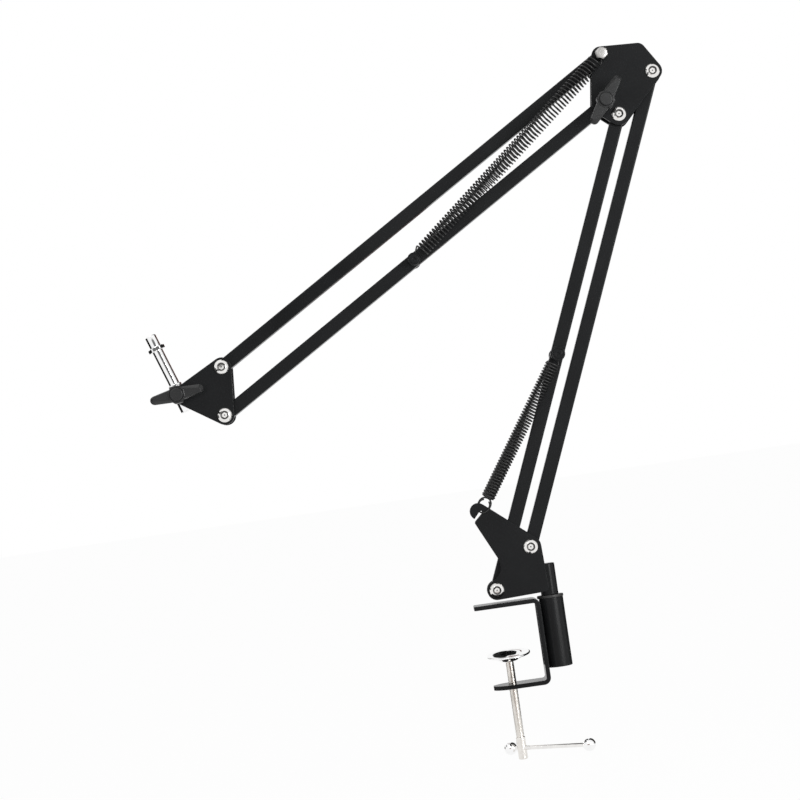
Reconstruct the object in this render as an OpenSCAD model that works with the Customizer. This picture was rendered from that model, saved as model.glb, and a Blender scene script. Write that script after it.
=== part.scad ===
// Microphone boom arm with a desk clamp, two spring-balanced arms and a threaded stud.
// X points from the clamp screw to the mast, Z is up and -Y is the front.
// The origin is on the clamping face, on the axis of the clamp screw.
// All sizes are in millimetres and all angles in degrees.

/* [Arms] */
// Length of each bar between its two pivots
arm_len = 350; // [280:1:380]
// Rise of the lower arm above the horizontal
lower_angle = 67.4; // [62:0.1:85]
// Fall of the upper arm below the horizontal, on its way to the left
upper_fall = 31.3; // [15:0.1:36]
// Width and depth of the square bars
bar_w = 9.5; // [8:0.5:10]
// Wall of the square bars
bar_wall = 1; // [0.8:0.1:1.5]
// Distance between the two lower pivots on the base plates
lower_link = 39.1; // [36:0.1:44]
// Rise of the line between these two pivots
lower_link_angle = 44.1; // [36:0.1:46]
// Distance between the two upper pivots on the elbow plates
upper_link = 34.4; // [30:0.1:40]
// Rise of the line between these two pivots
upper_link_angle = 86; // [80:1:96]

/* [Plates] */
// Inner gap between a front and a back plate
plate_gap = 12; // [11.8:0.1:13]
// Thickness of the plates
plate_t = 2; // [1.5:0.1:3]
// Place of the lowest pivot along X
base_x = -1.7; // [-4:0.1:2]
// Height of the lowest pivot
base_z = 12.2; // [11:0.1:14]
// Radius of the base plate around its lowest pivot
base_r = 6.9; // [6:0.1:7.5]
// Radius of the nose of the base plate over the spring slot
nose_r = 6; // [5:0.1:7]
// Width of the spring slot
slot_w = 1.9; // [1.6:0.1:2.4]
// Radius of the elbow plate around its bolts
elbow_r = 7; // [6:0.1:8]
// Radius of the elbow plate around its locking bolt
elbow_lock_r = 9; // [8:0.1:10]
// Radius of the head plate around its bolts
head_r = 6.9; // [6:0.1:8]
// Radius of the head plate around its locking bolt
head_lock_r = 5.6; // [5:0.1:7]

/* [Fasteners] */
// Radius of the pivot bolts
bolt_r = 3; // [2.5:0.1:3.2]
// Radius of their round heads
head_cap_r = 5.25; // [4.8:0.05:5.5]
// Height of their round heads
head_cap_h = 3.3; // [2.5:0.1:3.8]
// Width across the flats of their sockets
socket_af = 4; // [3:0.5:4.5]
// Radius of the bolt that carries the upper springs
spring_bolt_r = 2.5; // [2:0.1:2.8]
// Width across its hexagon nuts
spring_nut_af = 8; // [7:0.5:9]
// Radius of the nylon bush flanges
flange_r = 6; // [5.5:0.1:6]
// Radius of the nylon bush sleeves
sleeve_r = 3.9; // [3.7:0.1:4.2]
// Running clearance on a radius
run = 0.05; // [0.03:0.01:0.08]
// Extra clearance at the two pivots that close the linkages
open_run = 0.3; // [0.2:0.05:0.4]
// Side clearance between faces that slide past each other
side_gap = 0.05; // [0.03:0.01:0.1]

/* [Springs] */
// Outer radius of the lower springs
lower_spring_r = 4.75; // [4:0.05:5]
// Outer radius of the upper springs
upper_spring_r = 5.2; // [4.5:0.05:5.4]
// Radius of the spring wire
wire_r = 0.5; // [0.4:0.05:0.6]
// Number of curls of each spring
curls = 17; // [10:1:20]
// Place of the lower spring pin along its bar
lower_pin_at = 173; // [150:1:200]
// Place of the upper spring pin along its bar
upper_pin_at = 175.8; // [150:1:200]
// Plain wire between the coil and the point it pulls on
spring_tail = 8; // [7:0.5:10]
// Radius of the spring pins
pin_r = 2.5; // [2:0.1:3]
// Radius of the heads of the spring pins
pin_head_r = 5.25; // [4.5:0.05:5.5]
// Distance of the lower springs from the middle plane
lower_spring_y = 10.2; // [10:0.1:11]
// Distance of the upper springs from the middle plane at the elbow
upper_spring_y = 13.6; // [13.5:0.1:15]
// Distance of the upper springs from the middle plane at their pin
upper_pin_y = 11.2; // [11:0.1:12]

/* [Clamp] */
// Thickness of the clamp strip
clamp_t = 3; // [2.5:0.1:4]
// Width of the clamp strip
clamp_w = 28; // [24:0.5:32]
// Free height inside the clamp
clamp_open = 55; // [50:1:65]
// Reach of the top plate to the left of the screw
clamp_reach = 19.8; // [15:0.1:25]
// Reach of the lower plate to the left of the screw
clamp_tip = 13.7; // [13:0.1:15]
// Outer face of the upright strip along X
clamp_back = 27; // [24:0.5:30]
// Outer radius of the two bends
bend_r = 5; // [4:0.1:7]
// Radius of the clamp screw
screw_r = 3; // [2.5:0.1:3.5]
// Length of the screw below the cup
screw_len = 75; // [66:1:80]
// Radius of the thick end of the screw
barrel_r = 3.3; // [3.1:0.1:4]
// Length of the thick end of the screw
barrel_len = 16; // [12:1:20]
// Height of the tommy bar above the end of the screw
tommy_up = 8; // [6:0.5:10]
// Length of the tommy bar between the centres of its balls
tommy_len = 68; // [50:1:80]
// Turn of the tommy bar towards the front
tommy_turn = 38; // [0:1:90]
// Radius of the tommy bar
tommy_r = 1.5; // [1.2:0.1:1.8]
// Radius of its balls
ball_r = 4.6; // [4:0.1:5.2]
// Gap between the near ball and the screw
ball_gap = 2; // [1.6:0.1:6]
// Radius of the cup
cup_r = 15.5; // [12:0.1:18]
// Radius of the sunk middle of the cup
cup_inner_r = 9; // [7:0.1:10]
// Height of the cup
cup_h = 5; // [4:0.1:6]
// Thickness of the cup
cup_t = 1.2; // [1:0.1:1.6]
// Height of the rim of the cup, below the clamping face
cup_z = 34; // [20:1:38]

/* [Mast] */
// Axis of the mast along X
mast_x = 35.2; // [34.6:0.1:35.6]
// Radius of the mast
mast_r = 6.2; // [6.1:0.1:6.4]
// Top of the mast
mast_top = 26.1; // [24:0.1:28]
// Radius of the spigot that turns in the bush
spigot_r = 5; // [4:0.1:5.2]
// Depth of the spigot
spigot_len = 42; // [30:1:44]
// Radius of the socket tube
tube_r = 9; // [8.6:0.1:9.4]
// Wall of the socket tube
tube_wall = 2; // [1.5:0.1:2.4]
// Lower end of the socket tube, below the clamping face
tube_end = 47.4; // [46:0.1:52]
// Upper end of the socket tube
tube_top = 1.6; // [1.5:0.1:2]
// Radius of the bush flange
bush_r = 9.4; // [9.2:0.1:9.6]
// Thickness of the bush flange
bush_t = 2; // [1.5:0.1:2.4]

/* [Head and knobs] */
// Reach of the stud pivot to the left of the lower head pivot
stud_reach = 30.2; // [28:0.1:34]
// Rise of the stud pivot above the lower head pivot
stud_rise = 18.5; // [15:0.1:20]
// Lean of the stud to the left
stud_lean = 19; // [0:1:40]
// Radius of the thick part of the stud
stud_r = 4.85; // [4.6:0.05:5]
// Width across the flats that are milled on the stud
stud_flat = 9; // [8.4:0.1:9.2]
// Radius of the rod of the stud
rod_r = 3.8; // [3.4:0.1:3.8]
// Radius of the thread on its tip
thread_r = 4; // [3.5:0.1:4.2]
// Length of the stud below its pivot
stud_below = 12; // [10:0.5:14]
// Length of the thick part above its pivot
stud_thick = 9; // [8:0.5:12]
// Height of the collar above the stud pivot
collar_at = 36; // [30:0.5:40]
// Thickness of the collar
collar_t = 3; // [2:0.1:5]
// Width across the flats of the collar
collar_af = 11; // [10:0.1:12]
// Length of the thread above the collar
thread_len = 9; // [6:0.5:12]
// Radius of the knob hub
hub_r = 6.7; // [6:0.1:7.5]
// Radius of the cap in the middle of the knob
cap_r = 4.7; // [4:0.1:5.5]
// Length of the knob over both wings
knob_len = 38.8; // [32:0.1:42]
// Radius of a wing at its tip
wing_tip_r = 3.1; // [2.2:0.1:3.4]
// Radius of a wing at the hub
wing_root_r = 5.2; // [4.5:0.1:5.8]
// Thickness of the wings
wing_t = 6.5; // [5:0.1:7]
// Radius of the knob stem
stem_r = 5.4; // [5:0.1:5.8]
// Distance of the wings from the middle plane
wing_y = 19.6; // [19.5:0.1:24]
// Turn of the elbow knob
elbow_knob_turn = 53; // [0:1:180]
// Turn of the head knob
head_knob_turn = 7; // [0:1:180]

/* [Hidden] */
$fn = 64;
gap_in = plate_gap / 2;
plate_out = gap_in + plate_t;
half = bar_w / 2;
washer_t = 1.2;
nut_h = 5;
nut_af = 10;

function dir(a) = [cos(a), sin(a)];
function unit(v) = v / norm(v);
function to3(p, y = 0) = [p.x, y, p.y];

// The pivots, as points in the plane of the arms.
s5 = [base_x, base_z];
s4 = s5 + lower_link * dir(lower_link_angle);
s3 = s5 + arm_len * dir(lower_angle);
s2 = s4 + arm_len * dir(lower_angle);
lock = s3 + [-9.2, 9.1];
s1 = lock + upper_link * dir(upper_link_angle);
upper_dir = dir(180 + upper_fall);
h1 = s1 + arm_len * upper_dir;
h2 = lock + arm_len * upper_dir;
stud_pivot = h2 + [-stud_reach, stud_rise];
slot_end = s5 + [-3.5, 56.1];
lower_pin = s5 + lower_pin_at * dir(lower_angle);
upper_pin = lock + upper_pin_at * upper_dir;
stud_dir = dir(90 + stud_lean);

screw_end = -cup_z - cup_h - screw_len + cup_h;
tommy_z = screw_end + tommy_up;
tommy_dir = [cos(tommy_turn), -sin(tommy_turn)];
ball_near = barrel_r + ball_gap + ball_r;
bush_top = tube_top + bush_t;
bore_r = tube_r - tube_wall;
pin_out = lower_spring_y + wire_r + 0.5;
upper_pin_out = upper_pin_y + wire_r + 0.5;

steel_black = [0.15, 0.15, 0.16];
plastic_grey = [0.24, 0.24, 0.25];
nickel = [0.80, 0.79, 0.77];
nylon = [0.12, 0.12, 0.12];

// Shared shapes
module along_y(p, r, y0, y1, fn = 64) {
    translate([p.x, y0, p.y]) rotate([-90, 0, 0]) cylinder(h = y1 - y0, r = r, $fn = fn);
}

module slab(y0, y1) {
    translate([0, y1, 0]) rotate([90, 0, 0]) linear_extrude(y1 - y0) children();
}

// Outline round circles [x, z, r] that are listed counterclockwise.
function tangent_points(c) = [
    for (i = [0 : len(c) - 1])
        let (a = c[i], b = c[(i + 1) % len(c)], v = [b.x - a.x, b.y - a.y], l = norm(v), d = v / l)
        let (s = (a.z - b.z) / l, n = s * d + sqrt(1 - s * s) * [d.y, -d.x])
        each [[a.x, a.y] + a.z * n, [b.x, b.y] + b.z * n]
];

module rounded(c) {
    polygon(tangent_points(c));
    for (p = c) translate([p.x, p.y]) circle(r = p.z);
}

function disc(p, r) = [p.x, p.y, r];

// A plate with its bolt holes, on the side -1 for the front or 1 for the back.
module plate_on(side, holes, r) {
    difference() {
        if (side < 0) slab(-plate_out, -gap_in) children();
        else slab(gap_in, plate_out) children();
        for (i = [0 : len(holes) - 1]) along_y(holes[i], r[i] + run, -plate_out - 1, plate_out + 1);
    }
}

module bar(a, b) {
    d = unit(b - a);
    turn = atan2(d.y, d.x);
    l = norm(b - a);
    difference() {
        translate([a.x, 0, a.y]) rotate([0, -turn, 0]) stadium(l, half);
        translate([a.x, 0, a.y]) rotate([0, -turn, 0]) stadium(l, half - bar_wall);
        for (p = [a, b]) along_y(p, sleeve_r, -half - 1, half + 1);
    }
}

module stadium(l, h) {
    translate([0, -h, -h]) cube([l, 2 * h, 2 * h]);
    for (x = [0, l]) along_y([x, 0], h, -h, h);
}

// The two flanged nylon bushes of one pivot, put in from both sides of the bar.
module bushes(p, bore) {
    for (side = [-1, 1]) difference() {
        union() {
            along_y(p, flange_r, min(side * half, side * (gap_in - side_gap)),
                max(side * half, side * (gap_in - side_gap)));
            along_y(p, sleeve_r, min(side * 0.1, side * half), max(side * 0.1, side * half));
        }
        along_y(p, bore, -plate_out, plate_out);
    }
}

module button_bolt(p) {
    difference() {
        union() {
            along_y(p, bolt_r, -plate_out, plate_out + nut_h + 1);
            translate([p.x, -plate_out, p.y]) rotate([90, 0, 0]) button_head();
        }
        translate([p.x, -plate_out - head_cap_h - 1, p.y]) rotate([-90, 0, 0])
            cylinder(h = 3.2, r = socket_af / sqrt(3), $fn = 6);
    }
}

module button_head() {
    // The crown is part of a ball, and a short straight rim carries it.
    rim = 0.6;
    rise = head_cap_h - rim;
    ball = (head_cap_r * head_cap_r + rise * rise) / (2 * rise);
    intersection() {
        cylinder(h = head_cap_h, r = head_cap_r);
        translate([0, 0, head_cap_h - ball]) sphere(r = ball, $fn = 96);
    }
}

module hex_nut(p, r, af, y0, y1) {
    difference() {
        translate([p.x, y0, p.y]) rotate([-90, 0, 0])
            cylinder(h = y1 - y0, r = af / sqrt(3), $fn = 6);
        along_y(p, r, y0 - 1, y1 + 1);
    }
}

// Clamp
module clamp_frame() color(steel_black) {
    low = -clamp_open - clamp_t;
    difference() {
        union() {
            translate([-clamp_reach, -clamp_w / 2, 0])
                cube([clamp_reach + clamp_back - bend_r, clamp_w, clamp_t]);
            translate([clamp_back - clamp_t, -clamp_w / 2, low + bend_r])
                cube([clamp_t, clamp_w, -low + clamp_t - 2 * bend_r]);
            translate([0, -clamp_w / 2, low]) cube([clamp_back - bend_r, clamp_w, clamp_t]);
            translate([0, 0, low]) intersection() {
                cylinder(h = clamp_t, r = clamp_w / 2);
                translate([-clamp_tip, -clamp_w / 2, -1]) cube([clamp_tip + 1, clamp_w, clamp_t + 2]);
            }
            bend(clamp_t - bend_r, 0);
            bend(low + bend_r, 90);
        }
        translate([0, 0, low - 1]) cylinder(h = clamp_t + 2, r = screw_r + run);
    }
}

module bend(z, turn) {
    translate([clamp_back - bend_r, clamp_w / 2, z]) rotate([90, turn, 0])
        rotate_extrude(angle = 90) translate([bend_r - clamp_t, 0]) square([clamp_t, clamp_w]);
}

module socket_tube() color(steel_black) difference() {
    translate([mast_x, 0, -tube_end]) cylinder(h = tube_end + tube_top, r = tube_r);
    translate([mast_x, 0, -tube_end - 1]) cylinder(h = tube_end + tube_top + 2, r = bore_r);
    // The flat that is welded to the clamp strip.
    translate([clamp_back - 10, -clamp_w / 2, -tube_end - 1])
        cube([10, clamp_w, tube_end + tube_top + 2]);
}

module socket_bush() color(nylon) difference() {
    union() {
        translate([mast_x, 0, tube_top]) cylinder(h = bush_t, r = bush_r);
        translate([mast_x, 0, 3 - tube_end]) cylinder(h = tube_end - 3 + tube_top, r = bore_r);
    }
    translate([mast_x, 0, -tube_end]) cylinder(h = tube_end + bush_top + 1, r = spigot_r + run);
}

module pressure_cup() color(nickel) difference() {
    translate([0, 0, -cup_z - cup_h]) rotate_extrude() polygon(concat(
        [[screw_r - 0.6 + run, 0], [cup_inner_r - 3.4, 0], [cup_inner_r, 2.2], [cup_r - 3, cup_h - 1.6]],
        [for (a = [-60 : 15 : 60]) [cup_r - 1.3 + 1.3 * cos(a), cup_h - 1.3 + 1.3 * sin(a)]],
        [[cup_r - 3.2, cup_h - 1.6 + cup_t], [cup_inner_r - 0.4, 2.2 + cup_t]],
        [[cup_inner_r - 3.8, cup_t], [screw_r - 0.6 + run, cup_t]]
    ));
}

module clamp_screw() color(nickel) difference() {
    union() {
        translate([0, 0, screw_end]) cylinder(h = barrel_len, r = barrel_r);
        translate([0, 0, screw_end]) cylinder(h = -cup_z - cup_h - side_gap - screw_end, r = screw_r);
        translate([0, 0, -cup_z - cup_h - 1]) cylinder(h = 2 + cup_t, r = screw_r - 0.6);
        // The end is spread over the middle of the cup.
        translate([0, 0, -cup_z - cup_h + cup_t + side_gap]) cylinder(h = 1.2, r1 = 3.6, r2 = 2.6);
    }
    translate([0, 0, tommy_z]) rotate([0, 0, -tommy_turn]) rotate([0, 90, 0])
        translate([0, 0, -barrel_r - 1]) cylinder(h = 2 * barrel_r + 2, r = tommy_r + run);
}

module tommy_at(s) {
    translate([s * tommy_dir.x, s * tommy_dir.y, tommy_z]) children();
}

module tommy_bar() color(nickel)
    tommy_at(-ball_near) rotate([0, 0, -tommy_turn]) rotate([0, 90, 0])
        cylinder(h = tommy_len, r = tommy_r);

module tommy_bar_balls() color(nickel) difference() {
    for (s = [-ball_near, tommy_len - ball_near]) tommy_at(s) sphere(r = ball_r);
    tommy_bar();
}

// Mast and base plates
module base_outline() {
    // The left edge runs straight from the lip and then round this hollow to the lower disc.
    hollow = disc(s5 + [-6.4, 17.4], 11.4);
    shoulder = disc(s4, elbow_r + 0.5);
    corner = disc([mast_x - 3.2, base_z - base_r + 4.2], 3);
    lip = disc(slot_end + [-3, -7.1], 2);
    nose = disc(slot_end + [-1.6, 0.9], nose_r);
    discs = [disc(s5, base_r), corner, shoulder, nose, lip];
    difference() {
        union() {
            polygon(concat(
                [for (i = [0 : 8]) tangent_points(discs)[i]],
                [for (a = [23.4 : -8 : -64.6]) [hollow.x, hollow.y] + hollow.z * dir(a)], [s5 + [-3, 5.2]]
            ));
            for (c = discs) translate([c.x, c.y]) circle(r = c.z);
        }
        translate(slot_end) circle(r = slot_w / 2 + 0.05);
        translate(slot_end) rotate(226) translate([0, -slot_w / 2]) square([16, slot_w]);
    }
}

module base_plate_front() color(steel_black) plate_on(-1, [s4, s5], [bolt_r, bolt_r]) base_outline();
module base_plate_back() color(steel_black) plate_on(1, [s4, s5], [bolt_r, bolt_r]) base_outline();

module mast_tube() color(steel_black) {
    translate([mast_x, 0, bush_top + side_gap - 1 - spigot_len])
        cylinder(h = spigot_len + 2, r = spigot_r);
    intersection() {
        translate([mast_x, 0, bush_top + side_gap]) cylinder(h = mast_top - bush_top, r = mast_r);
        // The flats that are welded to the base plates.
        translate([mast_x - 10, -gap_in, 0]) cube([20, plate_gap, mast_top + 2]);
    }
}

module base_bolts() color(nickel) for (p = [s4, s5]) button_bolt(p);
module base_nuts() color(nickel) for (p = [s4, s5]) hex_nut(p, bolt_r, nut_af, plate_out, plate_out + nut_h);

// Lower arm
module lower_front_bar() color(steel_black) difference() {
    bar(s5, s3);
    along_y(lower_pin, pin_r, -half - 1, half + 1);
}

module lower_rear_bar() color(steel_black) bar(s4, s2);

module lower_front_bushes() color(nylon) for (p = [s5, s3]) bushes(p, bolt_r + run);

module lower_rear_bushes() color(nylon) {
    bushes(s4, bolt_r + run);
    bushes(s2, bolt_r + open_run);
}

module spring_pin(p, out) {
    along_y(p, pin_r, -out, out);
    for (side = [-1, 1]) difference() {
        along_y(p, pin_head_r, min(side * out, side * (out + 2.4)), max(side * out, side * (out + 2.4)));
        translate([p.x, side * (out + 2.4), p.y]) rotate([90, 0, 0]) rotate_extrude()
            translate([3.5, 0]) circle(r = 0.5, $fn = 16);
    }
}

module lower_spring_pin() color(steel_black) spring_pin(lower_pin, pin_out);

// Elbow
module elbow_outline() {
    top = s2 + [-8.4, 15.4];
    rounded([disc(lock, elbow_lock_r), disc(s3, elbow_r + 1), disc(s2, elbow_r),
        disc(top, elbow_r - 1), disc(s1, elbow_r - 0.5)]);
}

elbow_holes = [s3, s2, lock, s1];
elbow_hole_r = [bolt_r, bolt_r, bolt_r, spring_bolt_r];

module elbow_plate_front() color(steel_black) plate_on(-1, elbow_holes, elbow_hole_r) elbow_outline();
module elbow_plate_back() color(steel_black) plate_on(1, elbow_holes, elbow_hole_r) elbow_outline();
module elbow_bolts() color(nickel) for (p = [s2, s3]) button_bolt(p);
module elbow_nuts() color(nickel) for (p = [s2, s3]) hex_nut(p, bolt_r, nut_af, plate_out, plate_out + nut_h);

spacer_end = upper_spring_y - wire_r - 0.3;
nut_start = upper_spring_y + wire_r + 0.3;

module upper_spring_bolt() color(nickel)
    along_y(s1, spring_bolt_r, -nut_start - 4.6, nut_start + 4.6);

module upper_spring_nuts() color(nickel) for (side = [-1, 1]) {
    y0 = side * nut_start;
    y1 = side * (nut_start + 4);
    hex_nut(s1, spring_bolt_r, spring_nut_af, min(y0, y1), max(y0, y1));
}

module upper_spring_spacers() color(steel_black) for (side = [-1, 1]) difference() {
    along_y(s1, 4.2, min(side * plate_out, side * spacer_end), max(side * plate_out, side * spacer_end));
    along_y(s1, spring_bolt_r, -spacer_end - 1, spacer_end + 1);
}

// Locking bolts and knobs
module lock_bolt(p) {
    along_y(p, bolt_r, -wing_y - wing_t + 1, plate_out);
    translate([p.x, plate_out, p.y]) rotate([-90, 0, 0]) button_head();
}

module lock_washer(p) {
    difference() {
        along_y(p, 6, -plate_out - washer_t, -plate_out);
        along_y(p, bolt_r + run, -plate_out - washer_t - 1, 0);
    }
}

module wing_knob(p, turn) {
    reach = knob_len / 2 - wing_tip_r;
    tip = wing_y + wing_t;
    difference() {
        union() {
            along_y(p, stem_r, -wing_y, -plate_out - washer_t - side_gap);
            along_y(p, hub_r, -tip, -wing_y + 3);
            along_y(p, cap_r, -tip - 1.2, -tip);
            translate([p.x, 0, p.y]) rotate([0, -turn, 0]) slab(-tip + 0.6, -wing_y)
                rounded([[-reach, 0, wing_tip_r], [0, 0, wing_root_r],
                    [reach, 0, wing_tip_r], [0, 0, wing_root_r]]);
        }
        along_y(p, bolt_r + run, -tip + 0.9, 0);
    }
}

module elbow_lock_bolt() color(nickel) lock_bolt(lock);
module elbow_lock_washer() color(steel_black) lock_washer(lock);
module elbow_wing_knob() color(plastic_grey) wing_knob(lock, elbow_knob_turn);
module head_lock_bolt() color(nickel) lock_bolt(stud_pivot);
module head_lock_washer() color(steel_black) lock_washer(stud_pivot);
module head_wing_knob() color(plastic_grey) wing_knob(stud_pivot, head_knob_turn);

// Upper arm
module upper_under_bar() color(steel_black) difference() {
    bar(lock, h2);
    along_y(upper_pin, pin_r, -half - 1, half + 1);
}

module upper_top_bar() color(steel_black) bar(s1, h1);
module upper_under_bushes() color(nylon) for (p = [lock, h2]) bushes(p, bolt_r + run);

module upper_top_bushes() color(nylon) {
    bushes(s1, spring_bolt_r + run);
    bushes(h1, bolt_r + open_run);
}

module upper_spring_pin() color(steel_black) spring_pin(upper_pin, upper_pin_out);

// Head
module head_outline() {
    rounded([disc(h1, head_r), disc(stud_pivot, head_lock_r), disc(h2, head_r)]);
}

head_holes = [h1, h2, stud_pivot];
head_hole_r = [bolt_r, bolt_r, bolt_r];

module head_plate_front() color(steel_black) plate_on(-1, head_holes, head_hole_r) head_outline();
module head_plate_back() color(steel_black) plate_on(1, head_holes, head_hole_r) head_outline();
module head_bolts() color(nickel) for (p = [h1, h2]) button_bolt(p);
module head_nuts() color(nickel) for (p = [h1, h2]) hex_nut(p, bolt_r, nut_af, plate_out, plate_out + nut_h);

// Microphone stud
module on_stud(s) {
    p = stud_pivot + s * stud_dir;
    translate([p.x, 0, p.y]) rotate([0, -stud_lean, 0]) children();
}

module mic_stud() color(nickel) difference() {
    union() {
        on_stud(-stud_below) cylinder(h = stud_below + stud_thick, r = stud_r);
        on_stud(0) cylinder(h = collar_at + collar_t + 1, r = rod_r);
        on_stud(collar_at + collar_t) cylinder(h = thread_len, r = thread_r);
    }
    along_y(stud_pivot, bolt_r + run, -stud_r - 1, stud_r + 1);
    for (side = [-1, 1]) on_stud(-stud_below - 1) translate([0, side * (stud_flat / 2 + 5), 0])
        translate([-10, -5, 0]) cube([20, 10, stud_below + stud_thick + 2]);
}

module stud_collar() color(nickel) difference() {
    on_stud(collar_at) cylinder(h = collar_t, r = collar_af / sqrt(3), $fn = 6);
    on_stud(collar_at - 1) cylinder(h = collar_t + 2, r = rod_r);
}

module stud_washers() color(nylon) for (side = [-1, 1]) difference() {
    y0 = side * (stud_flat / 2);
    y1 = side * (gap_in - side_gap);
    along_y(stud_pivot, 4.6, min(y0, y1), max(y0, y1));
    along_y(stud_pivot, bolt_r + run, -gap_in - 1, gap_in + 1);
}

// Springs. A point of a spring is given as its distance u along the pull, v across it
// in the plane of the arms, and w out from the middle plane.
function spring_frame(from, to) = let (u = unit(to - from)) [from, u, [-u.y, u.x]];

function place(f, side, p) = to3(f[0] + p[0] * f[1] + side * p[1] * f[2], side * p[2]);

// Every corner of a path is cut at a quarter and at three quarters of its sides.
function cut_corners(p) = [
    p[0],
    for (i = [0 : len(p) - 2]) each [0.75 * p[i] + 0.25 * p[i + 1], 0.25 * p[i] + 0.75 * p[i + 1]],
    p[len(p) - 1]
];

// A coil starts on one side and ends on the other, so that its ends meet the wire in its plane.
function coil(u0, u1, w0, w1, r) = [
    for (i = [0 : 8 * curls + 4])
        let (k = i / (8 * curls + 4), a = 45 * i - 90)
        [u0 + k * (u1 - u0), r * sin(a), w0 + k * (w1 - w0) + r * cos(a)]
];

function tangent(p, i) = unit(p[min(i + 1, len(p) - 1)] - p[max(i - 1, 0)]);

// A round wire through the points p. Each ring is turned as little as it can be from the one before.
module wire(p, r, sides = 6) {
    n = len(p);
    t = [for (i = [0 : n - 1]) tangent(p, i)];
    start = abs(t[0].y) < 0.9 ? [0, 1, 0] : [1, 0, 0];
    out = [for (i = 0, v = unit(start - (start * t[0]) * t[0]); i < n;
        i = i + 1, v = i < n ? unit(v - (v * t[i]) * t[i]) : v) v];
    points = [for (i = [0 : n - 1], k = [0 : sides - 1])
        let (a = 360 * k / sides) p[i] + r * (cos(a) * out[i] + sin(a) * cross(t[i], out[i]))];
    walls = [for (i = [0 : n - 2], k = [0 : sides - 1])
        let (a = i * sides + k, b = i * sides + (k + 1) % sides)
        each [[a, b, b + sides], [a, b + sides, a + sides]]];
    caps = [for (k = [1 : sides - 2])
        each [[0, k + 1, k], [(n - 1) * sides, (n - 1) * sides + k, (n - 1) * sides + k + 1]]];
    polyhedron(points, [for (f = concat(walls, caps)) [f[2], f[1], f[0]]]);
}

// The least distance between points of a coil that are a whole curl or more apart, less the wire.
function self_gap(p) = min([for (i = [0 : len(p) - 10], k = [7 : 9]) if (i + k < len(p))
    norm(p[i] - p[i + k])]) - 2 * wire_r;

lower_frame = spring_frame(slot_end, lower_pin);
lower_span = norm(lower_pin - slot_end);
lower_mean = lower_spring_r - wire_r;
lower_coil = coil(spring_tail + 1.5, lower_span - spring_tail, lower_spring_y, lower_spring_y, lower_mean);
upper_frame = spring_frame(s1, upper_pin);
upper_span = norm(upper_pin - s1);
upper_mean = upper_spring_r - wire_r;
upper_coil = coil(spring_tail - 1.5, upper_span - spring_tail + 1, upper_spring_y, upper_pin_y, upper_mean);

echo(lower_spring_gap = self_gap(lower_coil), upper_spring_gap = self_gap(upper_coil));

// The hook goes through the slot of the base plate, once round its edge.
hook_in = gap_in - wire_r - 0.15;
hook_out = plate_out + wire_r + 0.3;
lower_hook = cut_corners(cut_corners([
    [4.5, 0, hook_in], [0, 0, hook_in], [0, 0, hook_out], [2.5, 0, hook_out],
    [spring_tail - 2, -1.5, hook_out + 0.4], [spring_tail + 0.8, -lower_mean, lower_spring_y - 1.4],
    lower_coil[0]
]));

// The eye goes round a pin or a bolt of radius r and ends where the wire came in.
function eye_loop(u0, w, r) = [for (a = [-150 : 30 : 150]) [u0 - r * cos(a), r * sin(a), w]];

upper_eye_r = spring_bolt_r + wire_r + 0.3;
upper_hook = concat(
    [for (a = [140 : -35 : -140]) [-upper_eye_r * cos(a), upper_eye_r * sin(a), upper_spring_y]],
    [[spring_tail - 3.7, -3.4, upper_spring_y - 0.3], [spring_tail - 1.8, -upper_mean, upper_spring_y - 1]]
);

module lower_spring(side) wire([for (p = concat(lower_hook, [for (i = [1 : len(lower_coil) - 1])
    lower_coil[i]])) place(lower_frame, side, p)], wire_r);

module upper_spring(side) wire([for (p = concat(upper_hook, upper_coil)) place(upper_frame, side, p)], wire_r);

// The last part of each spring, from the coil to its pin.
module spring_eye(frame, side, span, coil_path, w) {
    eye_r = pin_r + wire_r + 0.3;
    end = coil_path[len(coil_path) - 1];
    path = concat(
        [end, end + 0.7 * unit(end - coil_path[len(coil_path) - 2]), end + [1.8, 0, -0.6]],
        [[(end.x + span) / 2, 3.8, w - 0.2]],
        [for (a = [70 : 35 : 315]) [span - eye_r * cos(a), eye_r * sin(a), w]]
    );
    wire([for (p = path) place(frame, side, p)], wire_r);
}

module lower_spring_front() color(steel_black) lower_spring(-1);
module lower_spring_back() color(steel_black) lower_spring(1);
module upper_spring_front() color(steel_black) upper_spring(-1);
module upper_spring_back() color(steel_black) upper_spring(1);

module lower_spring_eyes() color(steel_black) for (side = [-1, 1])
    spring_eye(lower_frame, side, lower_span, lower_coil, lower_spring_y);

module upper_spring_eyes() color(steel_black) for (side = [-1, 1])
    spring_eye(upper_frame, side, upper_span, upper_coil, upper_pin_y);

clamp_frame();
socket_tube();
socket_bush();
pressure_cup();
clamp_screw();
tommy_bar();
tommy_bar_balls();
base_plate_front();
base_plate_back();
mast_tube();
base_bolts();
base_nuts();
lower_front_bar();
lower_rear_bar();
lower_front_bushes();
lower_rear_bushes();
lower_spring_pin();
elbow_plate_front();
elbow_plate_back();
elbow_bolts();
elbow_nuts();
upper_spring_bolt();
upper_spring_nuts();
upper_spring_spacers();
elbow_lock_bolt();
elbow_lock_washer();
elbow_wing_knob();
upper_under_bar();
upper_top_bar();
upper_under_bushes();
upper_top_bushes();
upper_spring_pin();
head_plate_front();
head_plate_back();
head_bolts();
head_nuts();
head_lock_bolt();
head_lock_washer();
head_wing_knob();
mic_stud();
stud_collar();
stud_washers();
lower_spring_front();
lower_spring_back();
lower_spring_eyes();
upper_spring_front();
upper_spring_back();
upper_spring_eyes();
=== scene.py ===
# The looks of the microphone boom arm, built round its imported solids.
# Sizes are in millimetres and are turned into metres where a mesh is made.
# X points to the mast, Z is up and -Y is the front.

import math

import bmesh
import bpy
import numpy as np
from mathutils import Matrix, Vector


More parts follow.
